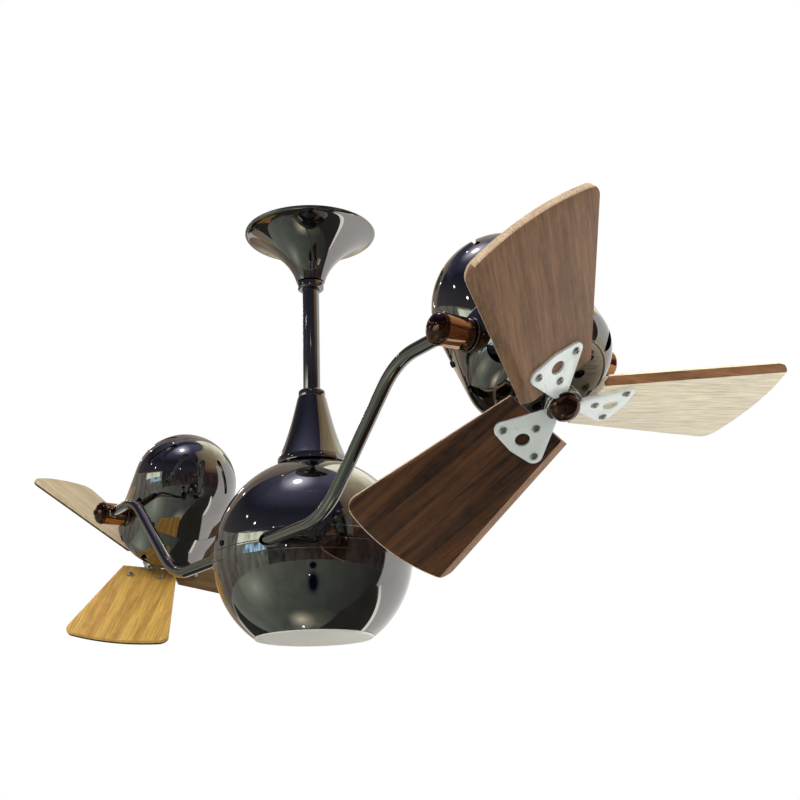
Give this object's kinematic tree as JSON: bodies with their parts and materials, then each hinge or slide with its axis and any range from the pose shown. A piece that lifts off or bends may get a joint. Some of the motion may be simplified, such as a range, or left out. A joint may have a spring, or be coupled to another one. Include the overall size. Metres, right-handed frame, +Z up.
{
  "type": "twin head ceiling fan",
  "caption": "Ceiling fan with a trumpet canopy, a downrod and a mirror ball that turns, with bent arms on it that each carry a tilting motor head with pitched wooden blades.",
  "frame": {"origin": "centre of the mounting face, where the bracket and the canopy rim meet the ceiling", "axes": "+Z up, +X towards the right head, both arms on the -Y side"},
  "size_m": [1.1261, 0.375, 0.465],
  "materials": {
    "black_nickel": "mirror-polished black nickel plate",
    "bright_nickel": "mirror-polished nickel plate",
    "bronze_nickel": "mirror-polished dark bronze plate",
    "satin_steel": "satin stainless sheet",
    "plated_steel": "zinc-plated steel",
    "dark_steel": "black oxide steel",
    "bearing_steel": "ground bearing steel",
    "cast_alloy": "die-cast aluminium",
    "lamination_iron": "stacked iron sheets with enamelled windings",
    "black_nylon": "moulded nylon",
    "phenolic": "phenolic laminate",
    "friction_pad": "dark friction disc",
    "walnut": "oiled walnut",
    "golden_walnut": "oiled golden walnut"
  },
  "bodies": {
    "hanger": {"ceiling_bracket": "plated_steel", "hanger_ball": "black_nylon", "rod_pins": "plated_steel", "downrod": "black_nickel", "canopy": "black_nickel", "canopy_collar": "black_nickel", "neck_collar": "black_nickel", "collar_screws": "plated_steel", "neck_cover": "black_nickel", "spindle": "plated_steel", "slip_ring_drum": "phenolic", "spindle_nut": "plated_steel"},
    "turret": {"turret_hub": "cast_alloy", "hub_bearings": "bearing_steel", "brush_block": "phenolic", "upper_dome": "black_nickel", "lower_bowl": "black_nickel", "lip_screws": "dark_steel", "bottom_cover": "bright_nickel", "right_arm": "black_nickel", "left_arm": "black_nickel", "friction_washers": "friction_pad"},
    "right_head": {"right_rear_shell": "black_nickel", "right_front_shell": "black_nickel", "right_motor_frame": "cast_alloy", "right_stator": "lamination_iron", "right_motor_bearings": "bearing_steel", "right_pivot_bolt": "plated_steel", "right_clamp_knob": "bronze_nickel", "right_far_knob": "black_nickel", "right_shell_screws": "dark_steel"},
    "left_head": {"left_rear_shell": "black_nickel", "left_front_shell": "black_nickel", "left_motor_frame": "cast_alloy", "left_stator": "lamination_iron", "left_motor_bearings": "bearing_steel", "left_pivot_bolt": "plated_steel", "left_clamp_knob": "bronze_nickel", "left_far_knob": "black_nickel", "left_shell_screws": "dark_steel"},
    "right_rotor": {"right_shaft": "bearing_steel", "right_rotor": "lamination_iron", "right_blade_hub": "bright_nickel", "right_blade_plates": "satin_steel", "right_blade_1": "walnut", "right_blade_2": "walnut", "right_blade_3": "walnut", "right_blade_screws": "plated_steel", "right_hub_cap": "bronze_nickel"},
    "left_rotor": {"left_shaft": "bearing_steel", "left_rotor": "lamination_iron", "left_blade_hub": "bright_nickel", "left_blade_plates": "satin_steel", "left_blade_1": "golden_walnut", "left_blade_2": "golden_walnut", "left_blade_3": "golden_walnut", "left_blade_screws": "plated_steel", "left_hub_cap": "bronze_nickel"}
  },
  "joints": [
    {"name": "turret_turn", "type": "hinge", "parent": "hanger", "child": "turret", "pos_m": [0, 0, -0.378], "axis": [0, 0, 1], "continuous": true},
    {"name": "right_tilt", "type": "hinge", "parent": "turret", "child": "right_head", "pos_m": [0.372, 0, -0.263], "axis": [0, 1, 0], "range_deg": [-79, 11]},
    {"name": "left_tilt", "type": "hinge", "parent": "turret", "child": "left_head", "pos_m": [-0.372, 0, -0.263], "axis": [0, -1, 0], "range_deg": [-64, 26]},
    {"name": "right_spin", "type": "hinge", "parent": "right_head", "child": "right_rotor", "pos_m": [0.372, 0, -0.263], "axis": [0.515, 0, -0.8572], "continuous": true},
    {"name": "left_spin", "type": "hinge", "parent": "left_head", "child": "left_rotor", "pos_m": [-0.372, 0, -0.263], "axis": [-0.7193, 0, -0.6947], "continuous": true}
  ]
}
